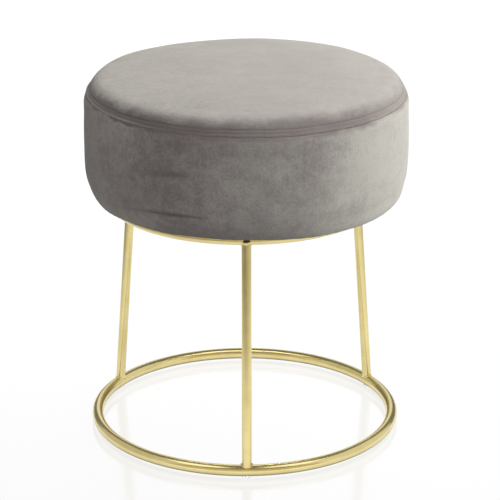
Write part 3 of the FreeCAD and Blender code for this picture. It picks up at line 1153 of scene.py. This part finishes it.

# %% [markdown]
# ## Velvet: all together
#
# Sheen on the shader makes the thread tips shine, and the two finest noises are the height of a bump.
# Painted shade darkens the nap at the sewn edge, in the folds, low in the middle, in blotches on the
# shady side and at the far left edge.

# %% Velvet finish
def velvet_pattern(place):
    at, pile = seat_parts(place), velvet_pile(place)
    fold_shade = place.node("ShaderNodeAttribute", {"attribute_name": "fold_shade"}, out="Fac")
    ragged = at.along + pile.smears * 4.0 + pile.marks * 2.0 - 3.0
    on_top = ragged.ranged(SEAM_AT + 2, SEAM_AT + 19)
    # Painted shade: blotches over the shady side below the top, and a darker far left edge.
    painted_shade_blotches = at.shady * (1 - on_top) * (1 - pile.patches * 0.7 - pile.smears * 0.3)
    edge = at.x.ranged(-0.165, -0.12, 1.0, 0.0) * (1 - on_top) * at.along.ranged(20, 60)
    # All the painted shade summed: seam, folds, low middle, blotches and far left edge; rgb(57, 34,
    # 43) is its colour.
    dark = painted_seam_shade(at, pile, ragged) + fold_shade * (0.75 + 0.5 * pile.smears)
    dark = dark + at.low * at.middle * 0.40 + painted_shade_blotches * 0.30 + edge * 0.22
    height = pile.threads * 0.5 + pile.tufts * 0.5
    return {
        "Base Color": dark.blend(nap_with_painted_light(at, pile, on_top), rgb(57, 34, 43)),
        "Normal": height.bump(0.5, 0.5),
    }


velvet = finish_of("velvet", velvet_pattern, {
    "Roughness": 0.95, "Specular IOR Level": 0.1, "Sheen Weight": 0.5,
    "Sheen Roughness": 0.9, "Sheen Tint": rgb(250, 248, 240),
})
put_on(velvet, seat)
print("velvet nodes:", len(velvet.node_tree.nodes))

# %% [markdown]
# ## Sewing thread
#
# The thread is polyester in the velvet's own colour, a little darker and slightly shiny. Its shape is
# there already, so the finish only adds the twist, as fine bands.

# %% Thread finish
def thread_pattern(place):
    twist = place.noise(1500, 1, 0.5, stretch=(1, 1, 2.0)).ranged(0.35, 0.65)
    colour = twist.blend(rgb(78, 70, 69), rgb(112, 104, 100))
    return {"Base Color": colour, "Normal": twist.bump(0.3, 0.1)}


thread = finish_of("sewing_thread", thread_pattern, {
    "Roughness": 0.55, "Specular IOR Level": 0.4, "Sheen Weight": 0.2, "Sheen Roughness": 0.4,
})
put_on(thread, upper_row, lower_row)
print("thread nodes:", len(thread.node_tree.nodes))

# %% [markdown]
# ## Satin gold
#
# The tubes are steel, plated in a pale gold and left satin. The metal is smooth to the hand, so its
# reflections are soft and run along the tubes. Roughness changes a little from place to place, as
# polishing leaves it, with the faintest cloudiness in the colour. Anisotropy would draw the highlights
# out as on brushed metal, which this metal doesn't show.

# %% Satin gold finish
def gold_pattern(place):
    cloud = place.noise(38, 3, 0.55).ranged(0.3, 0.7)
    wear = place.noise(220, 3, 0.6).ranged(0.35, 0.75)
    grain = place.noise(900, 2, 0.6)
    return {
        "Base Color": cloud.blend(rgb(224, 207, 146), rgb(232, 217, 158)),
        "Roughness": 0.17 + 0.05 * wear + 0.03 * grain,
        "Normal": grain.bump(0.02, 0.02),
    }


satin_gold = finish_of("satin_gold", gold_pattern, {"Metallic": 1.0})
gold_pieces = [nodes["base_ring"], nodes["top_ring"]]
for leg in LEG_NAMES:
    gold_pieces += [nodes["leg_" + leg], nodes["mounting_tab_" + leg]]
gold_pieces += [piece for piece in scene.objects if piece.name.startswith("weld_")]
put_on(satin_gold, *gold_pieces)
print("gold on:", len(gold_pieces), "pieces")

# %% [markdown]
# ## Small parts and what is hidden
#
# The glides are clear soft plastic. Bolts, washers, nuts, screws and staples are zinc-plated steel,
# which has a cool grey crystal look. The boards are plywood with a fine long grain, the hoop is brown
# hardboard, and the cloth under the seat is white felt-like fleece pressed from loose fibres. Each has
# a small pattern of its own, because a part may also be looked at from below or taken out.

# %% Patterns of the small and hidden parts
def glide_pattern(place):
    mottle = place.noise(500, 2, 0.5).ranged(0.3, 0.7)
    scuff = place.noise(900, 3, 0.7)
    return {
        "Base Color": mottle.blend(rgb(244, 244, 241), rgb(250, 250, 248)),
        "Roughness": 0.30 + 0.15 * scuff,
        "Normal": scuff.bump(0.15, 0.05),
    }


def zinc_pattern(place):
    cells = {"Vector": place, "Scale": 900.0}
    crystal = place.node("ShaderNodeTexVoronoi", {"feature": "F1"}, cells).ranged(0.1, 0.8)
    haze = place.noise(260, 3, 0.6)
    return {
        "Base Color": crystal.blend(rgb(168, 172, 176), rgb(203, 206, 208)),
        "Roughness": 0.28 + 0.16 * haze,
    }


def plywood_pattern(place):
    grain = place.noise(190, 4, 0.62, stretch=(0.06, 1, 1)).ranged(0.3, 0.72)
    pores = place.noise(1300, 2, 0.6, stretch=(0.04, 1, 1)).ranged(0.55, 0.75)
    shade = grain.blend(rgb(196, 164, 121), rgb(226, 201, 160))
    return {
        "Base Color": (pores * 0.4).blend(shade, rgb(150, 116, 78)),
        "Roughness": 0.62 + 0.15 * pores,
        "Normal": grain.bump(0.2, 0.1),
    }


def hardboard_pattern(place):
    fibre = place.noise(700, 3, 0.65).ranged(0.3, 0.7)
    return {
        "Base Color": fibre.blend(rgb(96, 66, 44), rgb(128, 92, 62)),
        "Roughness": 0.55 + 0.2 * fibre,
    }


def fleece_pattern(place):
    fibre = place.noise(900, 3, 0.7, stretch=(1, 0.25, 1)).ranged(0.3, 0.7)
    other = place.noise(1000, 3, 0.7, stretch=(0.25, 1, 1)).ranged(0.3, 0.7)
    felt = fibre * 0.5 + other * 0.5
    colour = felt.blend(rgb(222, 221, 216), rgb(240, 239, 235))
    return {"Base Color": colour, "Normal": felt.bump(0.5, 0.15)}


print("patterns ready")

# %% [markdown]
# ## Handing out the finishes
#
# Every CAD node that stays gets its finish in its own material slot, and so do the new pieces.

# %% Finishes of the small and hidden parts
glide_plastic = finish_of("glide_plastic", glide_pattern, {
    "IOR": 1.15, "Transmission Weight": 0.95, "Alpha": 0.35,
})
zinc_steel = finish_of("zinc_steel", zinc_pattern, {"Metallic": 1.0})
plywood = finish_of("plywood", plywood_pattern)
hardboard = finish_of("hardboard", hardboard_pattern)
white_fleece = finish_of("white_fleece", fleece_pattern, {
    "Roughness": 0.9, "Specular IOR Level": 0.2, "Sheen Weight": 0.2, "Sheen Roughness": 0.5,
})
put_on(glide_plastic, *[nodes["glide_" + leg] for leg in LEG_NAMES])
put_on(zinc_steel, *[nodes[n] for n in ("mounting_bolts", "bolt_washers", "t_nuts", "drum_screws")])
put_on(zinc_steel, staples)
put_on(plywood, *[nodes[n] for n in ("base_board", "top_board", "drum_posts")])
put_on(hardboard, nodes["drum_hoop"])
put_on(white_fleece, dust_cloth)
print("finishes:", sorted(m.name for m in bpy.data.materials if m.users))

# %% [markdown]
# ## The floor
#
# The picture was taken on a glossy white sheet that is lit from below, so it is nearly white, throws
# light up and has only a faint reflection of the stool. The floor therefore shines by itself. What
# metal and cloth see of it has shade painted in: it fades away from the stool, a painted shadow lies
# under the seat and under the ring, and cloth sees it dimmer still, more on the left. This gives the
# tubes their dark stripes. The floor lies a hair below the glides, because two faces in one place
# would flicker.

# %% Lay the floor
FLOOR_BELOW = 0.2         # mm


def sheet_pattern(place):
    faint = place.noise(3, 2, 0.5)
    x, y = place.axes("XY")
    away = place.node("ShaderNodeVectorMath", {"operation": "LENGTH"}, {0: place}, out="Value")
    seen = place.ray("Is Camera Ray") + place.ray("Is Transmission Ray")
    # Painted shade in what metal and cloth see: darker away from the stool, towards the front and
    # left, and under the seat.
    painted_floor_shade = away.ranged(0.28, 0.95, 0.0, 0.48) + y.ranged(-1.4, -0.3, 0.30, 0.0)
    painted_floor_shade = painted_floor_shade + x.ranged(-0.9, 0.9, 0.16, -0.04) + x.ranged(-0.7, -0.2, 0.09, 0.0)
    painted_floor_shade = painted_floor_shade + away.ranged(0.10, 0.17, 0.12, 0.0)
    # A painted shadow under the base ring.
    painted_shadow_under_ring = (away - BASE_RING[0] * MM).size().ranged(0.001, 0.012, 0.7, 0.0)
    # Cloth sees the floor dimmer still, more on the left: painted shade.
    painted_shade_for_cloth = place.ray("Is Diffuse Ray") * x.ranged(0.05, 0.40, 0.76, 0.42)
    dim = seen * 0.155 + (1 - seen) * (painted_floor_shade + painted_shadow_under_ring) + painted_shade_for_cloth
    return {
        "Base Color": faint.blend(rgb(60, 60, 60), rgb(64, 64, 64)),
        "Emission Color": dim.blend((1, 1, 1, 1), (0, 0, 0, 1)),
    }


white_sheet = finish_of("white_sheet", sheet_pattern, {
    "Roughness": 0.12, "Specular IOR Level": 0.7, "Emission Strength": 0.95,
})
white_sheet.cycles.emission_sampling = "NONE"
floor = new_piece(
    "floor", bpy.ops.mesh.primitive_grid_add,
    x_subdivisions=8, y_subdivisions=8, size=16, location=(0, 0, -FLOOR_BELOW * MM),
)
bpy.ops.object.transform_apply(location=True)
put_on(white_sheet, floor)
print("floor nodes:", len(white_sheet.node_tree.nodes))

# %% [markdown]
# ## Lamps and cards
#
# The light is soft and comes mostly from the right and from above, so the velvet's right side and top
# are light and its front is dark. Metal needs other light than cloth: what it shows is what stands
# round it. So the lamps light only cloth, and white cards at both sides and above show only in the
# gold. The gap between the two cards above keeps the middle of the base ring's front dark. A small
# lamp under the seat lights the dust cloth alone, which the back of the base ring mirrors. Light
# linking is what ties a lamp to a group of pieces.

# %% Hang the lamps and the cards
WARM = (1.0, 0.99, 0.965)
LAMPS = (
    # name, place, aim, width, height, watts
    ("lamp_right", (1.7, -0.1, 0.95), (0, 0, 0.30), 3.0, 2.0, 53),
    ("lamp_above", (0.6, 0.5, 1.95), (0, 0, 0.35), 1.6, 1.1, 23),
    ("lamp_front", (-0.5, -2.4, 1.1), (0, 0, 0.32), 2.0, 1.4, 12),
    ("lamp_left", (-1.8, 0.2, 0.7), (0, 0, 0.30), 1.2, 1.0, 2.5),
)
LAMP_BELOW = ("lamp_below", (0, 0.125, 0.20), (0, 0.13, 0.26), 0.24, 0.05, 0.38)
CARDS = (
    ("card_right", (1.7, 0.1, 0.95), (0, 0, 0.30), 3.0, 2.0, 12),
    ("card_left", (-1.7, 0.1, 0.95), (0, 0, 0.30), 3.0, 2.0, 8),
    ("card_above_left", (-0.93, -0.55, 2.1), (-0.93, 0, 0.20), 1.14, 1.5, 7.2),
    ("card_above_right", (0.93, -0.55, 2.1), (0.93, 0, 0.20), 1.14, 1.5, 7.2),
)


def lit_group(name, pieces):
    """A group for light linking: a lamp that is given it lights these pieces and nothing else."""
    group = bpy.data.collections.new(name)
    for piece in pieces:
        group.objects.link(piece)
    return group


def soft_lamp(name, place, aim, width, height, power, mirrored=False, group=None):
    """A soft box that lights cloth, or with mirrored a card that only shows in shiny metal."""
    clear_selection()
    way = (Vector(aim) - Vector(place)).to_track_quat("-Z", "Y").to_euler()
    bpy.ops.object.light_add(type="AREA", location=place, rotation=way)
    lamp = bpy.context.object
    lamp.name = name
    lamp.data.shape = "RECTANGLE"
    lamp.data.size, lamp.data.size_y = width, height
    lamp.data.energy = power
    lamp.data.color = WARM
    lamp.visible_camera = False
    lamp.visible_glossy = mirrored
    lamp.visible_diffuse = not mirrored
    lamp.light_linking.receiver_collection = group


gold_metal = lit_group("gold_metal", gold_pieces)
underside = lit_group("underside", [dust_cloth])
for lamp in LAMPS:
    soft_lamp(*lamp)
soft_lamp(*LAMP_BELOW, group=underside)
for card in CARDS:
    soft_lamp(*card, mirrored=True, group=gold_metal)

# %% [markdown]
# ## The surroundings
#
# Round the stool stands a dim room. Low at the back is a bright white backdrop, which the floor
# mirrors towards the camera, and the side towards the camera has a soft glow, warmer in the metal.

# %% Surroundings
world = bpy.data.worlds.new("surroundings")
scene.world = world
world.use_nodes = True
world.node_tree.nodes.clear()
way = Wire(world.node_tree).node("ShaderNodeTexCoord", out="Generated")
back, up = way.axes("YZ")
backdrop = (back * 0.94 + up * 0.34).ranged(0.96, 0.99)
front = back.ranged(-0.85, -0.15, 1.0, 0.0) * (1 - up.ranged(0.45, 0.75))
warm_front = front * way.ray("Is Glossy Ray")
glow = way.node("ShaderNodeBackground", {}, {
    "Color": warm_front.blend((1, 1, 1, 1), (1, 0.90, 0.72, 1)),
    "Strength": 0.22 + 0.80 * backdrop + 0.33 * front + 0.12 * warm_front,
})
way.node("ShaderNodeOutputWorld", {}, {"Surface": glow})
scene.view_settings.view_transform = "Standard"
print("surroundings nodes:", len(world.node_tree.nodes))
